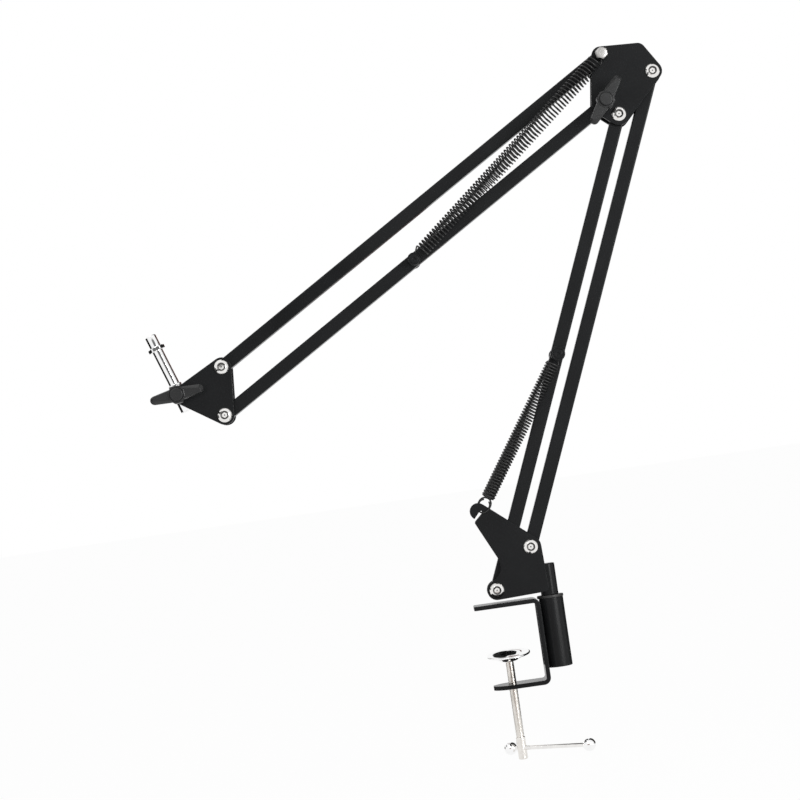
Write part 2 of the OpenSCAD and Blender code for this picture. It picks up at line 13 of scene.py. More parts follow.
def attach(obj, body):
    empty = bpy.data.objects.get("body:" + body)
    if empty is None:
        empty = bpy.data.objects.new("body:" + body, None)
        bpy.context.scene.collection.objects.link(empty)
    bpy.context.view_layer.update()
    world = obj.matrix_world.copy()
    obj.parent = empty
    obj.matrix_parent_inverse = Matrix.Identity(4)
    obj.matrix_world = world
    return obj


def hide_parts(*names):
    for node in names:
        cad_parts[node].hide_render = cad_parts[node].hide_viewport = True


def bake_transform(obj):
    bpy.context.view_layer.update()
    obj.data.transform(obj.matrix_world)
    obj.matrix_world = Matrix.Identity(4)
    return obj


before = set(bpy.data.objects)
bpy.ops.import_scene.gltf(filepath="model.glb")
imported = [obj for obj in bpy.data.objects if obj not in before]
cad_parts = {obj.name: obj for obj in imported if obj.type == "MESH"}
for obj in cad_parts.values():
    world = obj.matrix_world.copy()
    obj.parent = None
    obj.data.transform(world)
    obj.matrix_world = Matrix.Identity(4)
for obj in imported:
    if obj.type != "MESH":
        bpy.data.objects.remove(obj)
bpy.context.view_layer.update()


# Places of the pivots in the plane of the arms

def heading(degrees):
    a = math.radians(degrees)
    return np.array([math.cos(a), math.sin(a)])


def unit(v):
    v = np.asarray(v, float)
    return v / np.linalg.norm(v)


arm_length = 350
lower_way = heading(67.4)
upper_way = heading(180 + 31.3)
base_low = np.array([-1.7, 12.2])
base_high = base_low + 39.1 * heading(44.1)
elbow_low = base_low + arm_length * lower_way
elbow_right = base_high + arm_length * lower_way
elbow_lock = elbow_low + (-9.2, 9.1)
elbow_top = elbow_lock + 34.4 * heading(86)
head_high = elbow_top + arm_length * upper_way
head_low = elbow_lock + arm_length * upper_way
stud_pivot = head_low + (-30.2, 18.5)
hook_slot = base_low + (-3.5, 56.1)
lower_pin = base_low + 173 * lower_way
upper_pin = elbow_lock + 175.8 * upper_way
mast_x = 35.2

# Half sizes across, from the middle plane, and the radii that bolts and bushes share
gap_in = 6.0
plate_out = 8.0
half_bar = 4.75
bolt_r = 3.0
pin_r = 2.5
running_r = 3.05
flange_r = 6.0


# Finishes

class Socket:
    """A socket of a finish. Arithmetic on it adds the Math nodes."""

    def __init__(self, finish, socket):
        self.finish = finish
        self.socket = socket

    def math(self, operation, *values):
        return self.finish.node("ShaderNodeMath", {"operation": operation}, dict(enumerate(values)))

    def __add__(self, other):
        return self.math("ADD", self, other)

    def __sub__(self, other):
        return self.math("SUBTRACT", self, other)

    def __rsub__(self, other):
        return self.math("SUBTRACT", other, self)

    def __mul__(self, other):
        return self.math("MULTIPLY", self, other)

    __radd__ = __add__
    __rmul__ = __mul__

    def ramp(self, low, high, to_low=0.0, to_high=1.0):
        """This value taken smoothly from low..high to to_low..to_high."""
        settings = {"interpolation_type": "SMOOTHSTEP", "clamp": True}
        values = {"Value": self, "From Min": low, "From Max": high, "To Min": to_low, "To Max": to_high}
        return self.finish.node("ShaderNodeMapRange", settings, values)


class Finish:
    """The nodes of one material or of the world."""

    def __init__(self, name, owner=None):
        self.owner = owner or bpy.data.materials.new(name)
        self.owner.use_nodes = True
        self.tree = self.owner.node_tree
        self.tree.nodes.clear()

    def node(self, kind, settings=None, sockets=None, out=0):
        """A node of that kind, and the socket of it called out."""
        made = self.tree.nodes.new(kind)
        for key, value in (settings or {}).items():
            setattr(made, key, value)
        for key, value in (sockets or {}).items():
            if isinstance(value, Socket):
                self.tree.links.new(value.socket, made.inputs[key])
            else:
                made.inputs[key].default_value = value
        return Socket(self, made.outputs[out]) if len(made.outputs) else None

    def place(self, stretch=(1, 1, 1)):
        """Where a point of the piece is, in metres."""
        here = self.node("ShaderNodeTexCoord", out="Object")
        if stretch == (1, 1, 1):
            return here
        return self.node("ShaderNodeVectorMath", {"operation": "MULTIPLY"}, {0: here, 1: stretch})

    def noise(self, scale, detail, stretch=(1, 1, 1), roughness=0.55):
        values = {"Vector": self.place(stretch), "Scale": scale, "Detail": detail, "Roughness": roughness}
        return self.node("ShaderNodeTexNoise", sockets=values)

    def mix(self, factor, a, b):
        """The colour a where factor is 0 and b where it is 1."""
        return self.node("ShaderNodeMix", {"data_type": "RGBA"}, {0: factor, 6: a, 7: b}, out=2)

    def bump(self, height, distance, strength):
        return self.node("ShaderNodeBump", sockets={"Height": height, "Distance": distance,
                                                    "Strength": strength})

    def rays(self):
        """1 for the rays of the camera, and 1 for those that a mirror or clear plastic sends on."""
        camera = self.node("ShaderNodeLightPath", out="Is Camera Ray")
        outputs = camera.socket.node.outputs
        return camera, Socket(self, outputs["Is Glossy Ray"]) + Socket(self, outputs["Is Transmission Ray"])

    def close(self, **sockets):
        """The surface itself, from its sockets by name, with _ for a space."""
        values = {key.replace("_", " "): value for key, value in sockets.items()}
        self.node("ShaderNodeOutputMaterial",
                  sockets={"Surface": self.node("ShaderNodeBsdfPrincipled", sockets=values)})
        return self.owner


def grey(level, warm=0.0):
    """A grey of that level, a little warmer or cooler."""
    return (level * (1 + warm), level, level * (1 - 1.4 * warm), 1)


def powder_coat():
    f = Finish("satin_powder_coat")
    cloud = f.noise(22, 4)
    orange_peel = f.noise(900, 2)
    grit = f.noise(3800, 3)
    rubbed = f.noise(60, 5, (1, 1, 1), 0.7).ramp(0.62, 0.78)
    colour = f.mix(cloud.ramp(0.3, 0.7), grey(0.0095, -0.04), grey(0.0125, -0.04))
    colour = f.mix(rubbed * 0.5, colour, grey(0.018))
    rough = 0.21 + cloud * 0.08 - rubbed * 0.04
    normal = f.bump(orange_peel * 0.7 + grit * 0.3, 0.00002, 0.25)
    return f.close(Base_Color=colour, Roughness=rough, Normal=normal, Specular_IOR_Level=0.1)


def spring_black():
    f = Finish("blackened_spring_wire")
    drawn = f.noise(700, 3)
    colour = f.mix(drawn.ramp(0.35, 0.7), grey(0.006), grey(0.013))
    rough = 0.34 + drawn * 0.14
    normal = f.bump(drawn, 0.00003, 0.3)
    return f.close(Base_Color=colour, Roughness=rough, Normal=normal, Specular_IOR_Level=0.35)


def knob_plastic():
    f = Finish("grained_grey_plastic")
    grain = f.noise(2600, 2)
    cloud = f.noise(90, 4)
    scuffs = f.noise(420, 4, (1, 1, 6), 0.7).ramp(0.66, 0.8)
    colour = f.mix(cloud.ramp(0.3, 0.7), grey(0.014, -0.02), grey(0.018, -0.02))
    colour = f.mix(scuffs * 0.35, colour, grey(0.035))
    normal = f.bump(grain, 0.00006, 0.4)
    return f.close(Base_Color=colour, Roughness=0.30 + grain * 0.10, Normal=normal,
                   Specular_IOR_Level=0.32)


def bush_nylon():
    f = Finish("black_nylon")
    mould = f.noise(600, 3)
    colour = f.mix(mould.ramp(0.3, 0.7), grey(0.018), grey(0.025))
    return f.close(Base_Color=colour, Roughness=0.42 + mould * 0.12, Normal=f.bump(mould, 0.00003, 0.3),
                   Specular_IOR_Level=0.35)


def plated(name, bright, dull, rough, smudge, bump=0.000001):
    """A plated metal with faint smears and polishing lines."""
    f = Finish(name)
    smear = f.noise(130, 4, (1, 1, 1), 0.6)
    lines = f.noise(1500, 2, (1, 1, 0.1))
    colour = f.mix(smear.ramp(0.35, 0.75), bright, dull)
    roughness = rough + smear.ramp(0.45, 0.8) * smudge
    return f.close(Base_Color=colour, Metallic=1.0, Roughness=roughness, Normal=f.bump(lines, bump, 0.3))


coat = powder_coat()
wire_black = spring_black()
plastic = knob_plastic()
nylon = bush_nylon()
chrome = plated("polished_chrome", grey(0.94), grey(0.90), 0.06, 0.03, 0.00000004)
nickel = plated("bright_nickel", grey(0.86, 0.015), grey(0.78, 0.015), 0.12, 0.06)
warm_nickel = plated("warm_nickel", grey(0.80, 0.03), grey(0.70, 0.04), 0.16, 0.08)
zinc = plated("grey_zinc", grey(0.40, 0.02), grey(0.24, 0.02), 0.42, 0.10, 0.000003)
# Painted shade: the walls of the hex sockets get a darker metal than the heads, for the shade inside each
# hollow.
painted_shade_sockets = plated("socket_walls_painted_shade", grey(0.11, 0.02), grey(0.07, 0.02), 0.45, 0.1, 0.000003)


# Shells: a list of points and a list of faces

def loft(rings, capped=True):
    """Walls between rings that have as many points each."""
    n = len(rings[0])
    points = [p for ring in rings for p in ring]
    faces = [(i * n + k, i * n + (k + 1) % n, (i + 1) * n + (k + 1) % n, (i + 1) * n + k)
             for i in range(len(rings) - 1) for k in range(n)]
    if capped:
        faces += [tuple(range(n)), tuple(range(len(points) - n, len(points)))]
    return points, faces


def eased(line, r, loop=False, steps=3):
    """The line with each corner rounded, from r before it to r after it."""
    line = [np.asarray(p, float) for p in line]
    out = []
    for i, b in enumerate(line):
        if not loop and i in (0, len(line) - 1):
            out.append(b)
            continue
        a, c = line[i - 1] - b, line[(i + 1) % len(line)] - b
        reach = min(r, 0.45 * np.linalg.norm(a), 0.45 * np.linalg.norm(c))
        p, q = b + reach * unit(a), b + reach * unit(c)
        for k in range(steps + 1):
            t = k / steps
            out.append((1 - t) ** 2 * p + 2 * t * (1 - t) * b + t * t * q)
    return out


def all_round(sides):
    """As many angles, evenly round a circle."""
    return np.arange(sides) * 2 * math.pi / sides


def circle(r, h, sides=96):
    return [(r * math.cos(a), r * math.sin(a), h) for a in all_round(sides)]


def turned(profile, sides=96, hollow=False):
    """A shape turned on a lathe from heights and radii. A hollow one has a closed profile."""
    profile = list(profile) + (list(profile[:1]) if hollow else [])
    return loft([circle(r, h, sides) for h, r in profile], not hollow)


def rod(h0, h1, r, sides=64):
    """A plain round rod between two heights."""
    return turned([(h0, 0), (h0, r), (h1, r), (h1, 0)], sides)


def washer(h0, h1, bore, r, edge, sides=72):
    """A flat ring between two heights, with its edges rounded."""
    return turned(eased([(h0, bore), (h0, r), (h1, r), (h1, bore)], edge, True), sides, True)


def hexagon(flats, h, reach=1e9, turn=0):
    """A hexagon of that width across its flats, with its corners cut to a circle of radius reach."""
    ring = []
    for a in all_round(96):
        r = min(flats / 2 / math.cos((a + turn + math.pi / 6) % (math.pi / 3) - math.pi / 6), reach)
        ring.append((r * math.cos(a), r * math.sin(a), h))
    return ring


def across(shell, p, y, side, turn=0.0):
    """The shell with its height along Y from y, towards the front or the back."""
    c, s = heading(turn)
    points = [(p[0] + c * x - s * z, y + side * h, p[1] + s * x + c * z) for x, z, h in shell[0]]
    return points, shell[1]


def along(shell, start, way):
    """The shell with its height along way from start."""
    w = unit(way)
    u = unit(np.cross((0, 1, 0) if abs(w[1]) < 0.9 else (1, 0, 0), w))
    v = np.cross(w, u)
    start = np.asarray(start, float)
    return [start + p[0] * u + p[1] * v + p[2] * w for p in shell[0]], shell[1]


def outline(discs, inset, steps):
    """Points round discs x, z, r in counterclockwise order. A negative r is an inner corner."""
    normals = []
    for i, (ax, az, ar) in enumerate(discs):
        bx, bz, br = discs[(i + 1) % len(discs)]
        way = np.array([bx - ax, bz - az])
        length = np.linalg.norm(way)
        way = way / length
        s = max(-1.0, min(1.0, (ar - br) / length))
        normals.append(s * way + math.sqrt(1 - s * s) * np.array([way[1], -way[0]]))
    points = []
    for i, (x, z, r) in enumerate(discs):
        a = math.atan2(normals[i - 1][1], normals[i - 1][0])
        b = math.atan2(normals[i][1], normals[i][0])
        sweep = (b - a) % (2 * math.pi)
        if (r < 0 and sweep > 0.01) or sweep > 2 * math.pi - 0.01:
            sweep -= 2 * math.pi
        for k in range(steps + 1):
            t = a + sweep * k / steps
            points.append((x + (r - inset) * math.cos(t), z + (r - inset) * math.sin(t)))
    return points


def slab(discs, y0, y1, edge, steps=10, turns=4):
    """A plate or bar between y0 and y1 with rounded edges."""
    quarter = [math.radians(90 * k / turns) for k in range(turns + 1)]
    levels = [(y0 + edge * (1 - math.sin(a)), edge * (1 - math.cos(a))) for a in reversed(quarter)]
    levels += [(y1 - edge * (1 - math.sin(a)), edge * (1 - math.cos(a))) for a in quarter]
    return loft([[(x, y, z) for x, z in outline(discs, inset, steps)] for y, inset in levels])


def wire(path, r, sides=8):
    """A round wire along a path, with domed ends."""
    path = np.asarray(path, float)
    ways = np.gradient(path, axis=0)
    ways /= np.linalg.norm(ways, axis=1)[:, None]
    out = np.cross(ways[0], (0.3, 0.5, 0.8))
    rings = []
    for i, (p, w) in enumerate(zip(path, ways)):
        out = unit(out - out.dot(w) * w)
        other = np.cross(w, out)
        thick = r * (0.55 if i in (0, len(path) - 1) else 1)
        rings.append([p + thick * (math.cos(a) * out + math.sin(a) * other) for a in all_round(sides)])
    return loft(rings)


def smoothed(path):
    """The path with its corners cut twice."""
    path = [np.asarray(p, float) for p in path]
    for _ in range(2):
        cut = [path[0]]
        for a, b in zip(path, path[1:]):
            cut += [0.75 * a + 0.25 * b, 0.25 * a + 0.75 * b]
        path = cut + [path[-1]]
    return path


def piece(name, shells, material, body, nodes=(), crease=35, weighted=True):
    """An object from its shells, that rides on a body and stands for its CAD nodes."""
    points, faces = [], []
    for shell_points, shell_faces in shells:
        faces += [[k + len(points) for k in face] for face in shell_faces]
        points += [np.asarray(p, float) * 0.001 for p in shell_points]
    mesh = bpy.data.meshes.new(name)
    mesh.from_pydata([tuple(p) for p in points], [], faces)
    b = bmesh.new()
    b.from_mesh(mesh)
    bmesh.ops.remove_doubles(b, verts=b.verts, dist=2e-6)
    bmesh.ops.holes_fill(b, edges=[e for e in b.edges if e.is_boundary])
    bmesh.ops.recalc_face_normals(b, faces=b.faces)
    b.to_mesh(mesh)
    b.free()
    mesh.shade_smooth()
    mesh.set_sharp_from_angle(angle=math.radians(crease))
    mesh.materials.append(material)
    obj = bpy.data.objects.new(name, mesh)
    bpy.context.scene.collection.objects.link(obj)
    if weighted:
        even = obj.modifiers.new("even", "WEIGHTED_NORMAL")
        even.keep_sharp = True
        bpy.context.view_layer.update()
        ready = obj.evaluated_get(bpy.context.evaluated_depsgraph_get())
        obj.data = bpy.data.meshes.new_from_object(ready)
        obj.modifiers.clear()
    if body:
        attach(obj, body)
    if nodes:
        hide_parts(*([nodes] if isinstance(nodes, str) else nodes))
    return obj


# Clamp

def clamp_strip():
    """The bent strip, as rounded sections along its middle line."""
    half, thick, edge = 14, 1.5, 0.6
    tip, corner_r = -19.8, 3
    bend_x, bend_r, bend_high, bend_low = 22, 3.5, -2, -53

    def rounded(d):
        """Half the thickness at d from an end."""
        return thick - edge + math.sqrt(edge ** 2 - max(0, edge - d) ** 2)

    def bend(z, first):
        """The sections of a bend round a middle at z, from a heading of first degrees."""
        ways = [heading(first - 9 * k) for k in range(1, 10)]
        return [(np.array([bend_x, z]) + bend_r * n, n, half, thick) for n in ways]

    stations = []
    for x in [tip, -19.75, -19.6, -19.4, -19.2, -18.9, -18.4, -17.8, -16.8, 0, bend_x]:
        wide = half - corner_r + math.sqrt(corner_r ** 2 - max(0, corner_r - (x - tip)) ** 2)
        stations.append(((x, thick), (0, 1), wide, rounded(x - tip)))
    stations += bend(bend_high, 90)
    stations += [((bend_x + bend_r, z), (1, 0), half, thick) for z in (bend_high, -27, bend_low)]
    stations += bend(bend_low, 0)
    for x in [bend_x, 0.0, -2, -4, -6, -8, -9.5, -10.8, -11.8, -12.5, -13, -13.35, -13.55, -13.68]:
        wide = math.sqrt(half ** 2 - min(0, x) ** 2)
        stations.append(((x, bend_low - bend_r), (0, -1), wide, rounded(x + half)))
    rings = []
    for centre, n, wide, deep in stations:
        ring = []
        for k, (sy, sn) in enumerate([(1, 1), (-1, 1), (-1, -1), (1, -1)]):
            for step in range(5):
                a = math.radians(90 * k + 22.5 * step)
                y = sy * (wide - edge) + edge * math.cos(a)
                h = sn * (deep - edge) + edge * math.sin(a)
                ring.append((centre[0] + h * n[0], y, centre[1] + h * n[1]))
        rings.append(ring)
    return loft(rings)


def weld_bead(start, end, r=0.9, spacing=1.1):
    """A ripple of weld from start to end."""
    start, end = np.asarray(start, float), np.asarray(end, float)
    beads = []
    n = int(np.linalg.norm(end - start) / spacing)
    for k in range(n + 1):
        swell = r * (1 + 0.10 * math.sin(2.1 * k) + 0.06 * math.sin(5.3 * k))
        ball = turned([(swell * 0.62 * math.sin(t), swell * math.cos(t))
                       for t in np.linspace(-math.pi / 2, math.pi / 2, 9)], 20)
        beads.append(along(ball, start + (end - start) * k / n, end - start))
    return beads


upward = (0, 0, 1)
strip_back = 27.0


def on_mast(line, flat, capped):
    """A shape of radii and heights round the mast's axis, cut off where flat(x, y) says."""
    rings = []
    for r, z in line:
        cut = [flat(x, y) for x, y, _ in circle(r, z, 128)]
        rings.append([(mast_x + x, y, z) for x, y in cut])
    return loft(rings, capped)


def tube_shell():
    """The socket tube, with the flat that is welded to the strip and an open lower end."""
    line = [(7.0, 1.6), (8.6, 1.6), (8.9, 1.45), (9.0, 1.1), (9.0, -46.9), (8.87, -47.2), (8.6, -47.4),
            (7.3, -47.4), (7.0, -47.1), (7.0, 1.6)]
    return on_mast(line, lambda x, y: (max(x, strip_back - mast_x), y), False)


piece("clamp_strip", [clamp_strip()], coat, "clamp", "clamp_frame")
piece("mast_socket", [tube_shell()], coat, "clamp", "socket_tube")
piece("socket_welds", [bead for y in (-4.2, 4.2) for bead in weld_bead((27.3, y, -0.8), (27.3, y, -46.6))],
      coat, "clamp")
bush = turned(eased([(-44.4, 5.05), (-44.4, 6.98), (1.6, 6.98), (1.6, 9.4), (3.6, 9.4), (3.6, 5.05)],
                    0.45, True), 96, True)
piece("mast_bush", [along(bush, (mast_x, 0, 0), upward)], nylon, "clamp", "socket_bush")

cup_line = [(0.0, 2.45), (0.0, 5.6), (1.2, 8.2), (3.7, 10.8), (4.5, 12.6)]
cup_line += [(4.9 + 0.75 * math.sin(a), 14.75 + 0.75 * math.cos(a))
             for a in np.radians([-75, -30, 0, 30, 60, 90, 120])]
cup_line += [(5.6, 13.6), (5.35, 11.7), (4.6, 10.5), (2.2, 7.8), (1.2, 5.2), (1.2, 2.45)]
cup_lean = math.radians(8)
cup_way = (0, -math.sin(cup_lean), math.cos(cup_lean))
piece("cup_dish", [along(turned(eased(cup_line, 1.0, True, 4), 128, True), (0, 0, -38.9), cup_way)],
      chrome, "pressure_foot", "pressure_cup", crease=50)


def thread(z0, z1, r, depth, pitch, sides=48):
    """A screw thread as rows that climb one pitch a turn, with its root at 0 and its crest at 1."""
    profile = [(0.0, 0.0), (0.3, 0.0), (0.5, 1.0), (0.8, 1.0)]
    rows = [((turn + t) * pitch, d) for turn in range(-1, int((z1 - z0) / pitch) + 1) for t, d in profile]
    points = []
    for start, d in rows:
        for k in range(sides + 1):
            a = 2 * math.pi * k / sides
            z = min(max(z0 + start + pitch * k / sides, z0), z1)
            fade = min(1.0, (z - z0) / 0.5, (z1 - z) / 0.5)
            radius = r - depth * (1 - fade * (1 - d))
            points.append((radius * math.cos(a), radius * math.sin(a), z))
    n = sides + 1
    faces = [(i * n + k, i * n + k + 1, (i + 1) * n + k + 1, (i + 1) * n + k)
             for i in range(len(rows) - 1) for k in range(sides)]
    return points, faces


screw_end = -109.0
piece("screw_thread", [thread(-93.4, -38.0, bolt_r, 0.28, 1.0)], warm_nickel, "clamp_screw",
      "clamp_screw", crease=40, weighted=False)
barrel = turned(eased([(0, 0), (0, 2.7), (0.6, 3.3), (15.6, 3.3), (16.0, 2.9), (16.0, 0)], 0.25))
spread_end = turned(eased([(-1.0, 0), (-1.0, 2.4), (1.25, 2.4), (1.25, 3.6), (1.9, 3.3), (2.4, 2.5),
                           (2.45, 0)], 0.3))
piece("screw_barrel", [along(barrel, (0, 0, screw_end), upward), along(spread_end, (0, 0, -39), upward)],
      warm_nickel, "clamp_screw")

bar_way = np.array([*heading(-38), 0])
bar_middle = np.array([0, 0, screw_end + 8])
near, far = -9.9, 58.1  # where the balls are along the bar
bar = turned(eased([(0, 0), (0, 1.5), (far - near, 1.5), (far - near, 0)], 0.1))
piece("handle_rod", [along(bar, bar_middle + near * bar_way, bar_way)], nickel, "tommy_bar",
      "tommy_bar")


def handle_ball(at, way):
    """A ball with a short neck towards the rod, that way along it."""
    ball_r = 4.6
    line = [(-ball_r * math.cos(t), ball_r * math.sin(t)) for t in np.linspace(0, math.radians(157), 26)]
    line += [(4.45, 1.62), (4.58, 1.52), (4.58, 0)]
    return along(turned(line), bar_middle + at * bar_way, way * bar_way)


piece("handle_balls", [handle_ball(near, 1), handle_ball(far, -1)], chrome, "tommy_bar",
      "tommy_bar_balls", crease=50)


# Fasteners

bolt_end, lock_end = 14, 25.1


def dome(r, height=3.3, ball=6.45):
    """How high a button head stands at r from its middle."""
    return height - ball + math.sqrt(ball ** 2 - r ** 2)


def button_head():
    """A domed head with a hole for its socket, from its seat at 0."""
    head_r = 5.25
    rings = [circle(4.9, 0), circle(5.15, 0.08), circle(head_r, 0.3), circle(head_r, dome(head_r) - 0.12)]
    rings += [circle(r, dome(r)) for r in (5.2, 5.05, 4.8, 4.5, 4.1, 3.7, 3.3, 3.08)]
    rings += [circle(2.9, dome(3.08) - 0.15), circle(2.3, 1.12), circle(1.9, 1.12), circle(0.0, 1.25)]
    return loft(rings)


def socket_liner():
    """The chamfer and the six walls of the socket, with the drill point in its floor."""
    top = dome(3.1)
    walls = loft([circle(3.1, top + 0.01), circle(2.7, top - 0.2), hexagon(4.0, top - 0.6, 2.2),
                  hexagon(3.7, top - 0.85), hexagon(3.5, 1.14), hexagon(4.3, 1.0), circle(2.7, 1.0),
                  circle(3.1, top - 0.3), circle(3.1, top + 0.01)], False)
    point = turned([(1.0, 0), (1.0, 0.55), (1.24, 0.5), (1.28, 0)], 24)
    return [walls, point]


def bolt_row(name, body, nodes, points):
    """Button bolts from the front plate through the back plate and its nuts."""
    heads, liners = [], []
    length = plate_out + bolt_end
    shank = turned([(0, 0), (0, bolt_r), (length - 0.5, bolt_r), (length, 2.6), (length, 0)], 64)
    for p in points:
        heads += [across(button_head(), p, -plate_out, -1), across(shank, p, -plate_out, 1)]
        liners += [across(shell, p, -plate_out, -1) for shell in socket_liner()]
    piece(name, heads, nickel, body, nodes)
    # The socket walls carry painted shade.
    piece(name + "_sockets", liners, painted_shade_sockets, body)


def nut_shell():
    """A hexagon nut with its corners chamfered and a rounded collar on its outer end."""
    flats, thick = 10, 5
    half, corner, shoulder = flats / 2, flats / math.sqrt(3), thick - 1.2
    return loft([circle(bolt_r, 0), circle(half - 0.2, 0), hexagon(flats, 0.35, corner * 0.985),
                 hexagon(flats, 0.6), hexagon(flats, shoulder - 0.7),
                 hexagon(flats, shoulder - 0.35, corner * 0.97), circle(half - 0.15, shoulder),
                 circle(half - 0.5, shoulder + 0.05), circle(half - 0.65, thick - 0.4),
                 circle(half - 1.0, thick), circle(bolt_r + 0.9, thick), circle(bolt_r + 0.9, thick - 0.5),
                 circle(bolt_r, thick - 0.5), circle(bolt_r, 0)], False)


def nut_row(name, body, nodes, points):
    """Lock nuts on the back plate, with their nylon rings."""
    nuts = [across(nut_shell(), p, plate_out, 1) for p in points]
    piece(name, nuts, nickel, body, nodes)
    ring = washer(4.45, 4.75, 3.02, 3.88, 0.1, 64)
    piece(name + "_rings", [across(ring, p, plate_out, 1) for p in points], nylon, body)


def sleeve_row(name, body, node, points, bores):
    """The two flanged bushes at each point."""
    shells = []
    for p, bore in zip(points, bores):
        for side in (-1, 1):
            line = eased([(0.1, bore), (0.1, 3.9), (half_bar, 3.9), (half_bar, flange_r), (5.95, flange_r),
                          (5.95, bore)], 0.25, True)
            shells.append(across(turned(line, 72, True), p, 0, side))
    piece(name, shells, nylon, body, node)


groups = (("base", "mast", [base_high, base_low]), ("elbow", "elbow", [elbow_right, elbow_low]),
          ("head", "head", [head_high, head_low]))
for where, body, points in groups:
    bolt_row(where + "_button_bolts", body, where + "_bolts", points)
    nut_row(where + "_lock_nuts", body, where + "_nuts", points)
sleeve_row("front_bar_sleeves", "front_bar", "lower_front_bushes", [base_low, elbow_low],
           [running_r, running_r])
sleeve_row("rear_bar_sleeves", "rear_bar", "lower_rear_bushes", [base_high, elbow_right], [running_r, 3.3])
sleeve_row("under_bar_sleeves", "under_bar", "upper_under_bushes", [elbow_lock, head_low],
           [running_r, running_r])
sleeve_row("top_bar_sleeves", "top_bar", "upper_top_bushes", [elbow_top, head_high], [2.55, 3.3])


# Bars and plates

def disc(p, r):
    return (p[0], p[1], r)


def tube_bar(name, body, node, a, b):
    """A square tube with rounded long edges and round ends."""
    bar = slab([disc(a, half_bar), disc(b, half_bar)], -half_bar, half_bar, 1.0, steps=20, turns=6)
    piece(name, [bar], coat, body, node)


tube_bar("front_tube", "front_bar", "lower_front_bar", base_low, elbow_low)
tube_bar("rear_tube", "rear_bar", "lower_rear_bar", base_high, elbow_right)
tube_bar("under_tube", "under_bar", "upper_under_bar", elbow_lock, head_low)
tube_bar("top_tube", "top_bar", "upper_top_bar", elbow_top, head_high)

base_discs = [disc(base_low, 6.9), (mast_x - 3.2, 9.5, 3.0), disc(base_high, 7.5),
              disc(hook_slot + (-1.6, 0.9), 6.0), (-10.37, 64.89, 0.45), disc(hook_slot, -1.15),
              disc(hook_slot + (-3.0, -7.1), 2.0), disc(base_low + (-6.4, 17.4), -11.4)]
elbow_discs = [disc(elbow_lock, 9), disc(elbow_low, 8), disc(elbow_right, 7),
               disc(elbow_right + (-8.4, 15.4), 6), disc(elbow_top, 6.5)]
head_discs = [disc(head_high, 6.9), disc(stud_pivot, 5.6), disc(head_low, 6.9)]
for where, body, discs in (("base", "mast", base_discs), ("elbow", "elbow", elbow_discs),
                           ("head", "head", head_discs)):
    piece(where + "_cheek_front", [slab(discs, -plate_out, -gap_in, 0.4)], coat, body,
          where + "_plate_front")
    piece(where + "_cheek_back", [slab(discs, gap_in, plate_out, 0.4)], coat, body,
          where + "_plate_back")


def mast_shells():
    """The mast: a spigot below, and a round stub with two flats between the base plates."""
    spigot = turned(eased([(-39.35, 0), (-39.35, 4.5), (-38.7, 5.0), (3.9, 5.0), (3.9, 0)], 0.2))
    line = [(5.7, 3.65), (6.1, 3.8), (6.2, 4.2), (6.2, 25.0), (6.05, 25.6), (5.6, 26.0), (5.0, 26.1)]
    stub = on_mast(line, lambda x, y: (x, max(-gap_in, min(gap_in, y))), True)
    return [along(spigot, (mast_x, 0, 0), upward), stub]


piece("mast_stub", mast_shells(), coat, "mast", "mast_tube")


# Spring pins and the bolt of the upper springs

def pin_shells(p, out, reach):
    """A pin with two black heads of radius reach that have a ring groove and a dimple."""
    line = [(0, 0), (0, reach - 0.3), (0.3, reach), (1.9, reach), (2.4, reach - 0.45), (2.4, 3.95),
            (2.05, 3.7), (2.05, 3.3), (2.4, 3.05), (2.4, 1.3), (1.9, 0.9), (1.85, 0)]
    head = turned(eased([(out + h, r) for h, r in line], 0.18))
    shank = rod(-out - 0.1, out + 0.1, pin_r)
    return [across(head, p, 0, -1), across(head, p, 0, 1), across(shank, p, 0, 1)]


spacer_out, cap_nut_seat, rod_end = 12.8, 14.4, 18.2
piece("lower_pin_black", pin_shells(lower_pin, 11.2, 5.25), coat, "front_bar",
      "lower_spring_pin")
piece("upper_pin_black", pin_shells(upper_pin, 12.2, 4.6), coat, "under_bar",
      "upper_spring_pin")
piece("spring_bolt_rod", [across(rod(-rod_end, rod_end, pin_r, 72), elbow_top, 0, 1)], zinc,
      "elbow", "upper_spring_bolt")
cap_nut = loft([circle(0, 0), circle(3.8, 0), hexagon(8, 0.35, 4.5), hexagon(8, 0.8, 4.55),
                hexagon(8, 3.3, 4.55), hexagon(8, 3.9, 4.4), circle(3.85, 4.3), circle(3.4, 4.5),
                circle(1.8, 4.55), circle(0, 4.5)])
piece("spring_bolt_nuts", [across(cap_nut, elbow_top, side * cap_nut_seat, side, 8) for side in (-1, 1)],
      zinc, "elbow", "upper_spring_nuts")
spacer = washer(plate_out, spacer_out, pin_r, 4.2, 0.3)
piece("spring_bolt_spacers", [across(spacer, elbow_top, 0, side) for side in (-1, 1)],
      coat, "elbow", "upper_spring_spacers")


# Locking bolts and knobs

def knob_wings():
    """The two wings of a knob, as one shape that leans a little from its low outline to its top one."""
    reach = 19.4 - 3.1
    low = [(-reach, 0, 3.1), (0, 0, 5.2), (reach, 0, 3.1), (0, 0, 5.2)]
    top = [(-reach + 0.8, 1.0, 1.75), (0, 0, 4.6), (reach - 0.8, -1.0, 1.75), (0, 0, 4.6)]

    def between(t, inset):
        """The discs at t from low to top, each smaller by the inset."""
        return [tuple(np.array(a) * (1 - t) + np.array(b) * t - (0, 0, inset)) for a, b in zip(low, top)]

    levels = [(19.6, 0.0, 0.7), (19.8, 0.0, 0.3), (20.3, 0.0, 0.0), (22.9, 0.0, 0.0), (23.15, 0.06, 0.0),
              (25.1, 0.92, 0.0), (25.35, 1.0, 0.05), (25.5, 1.0, 0.3)]
    return loft([[(x, z, h) for x, z in outline(between(t, inset), 0, 12)] for h, t, inset in levels])


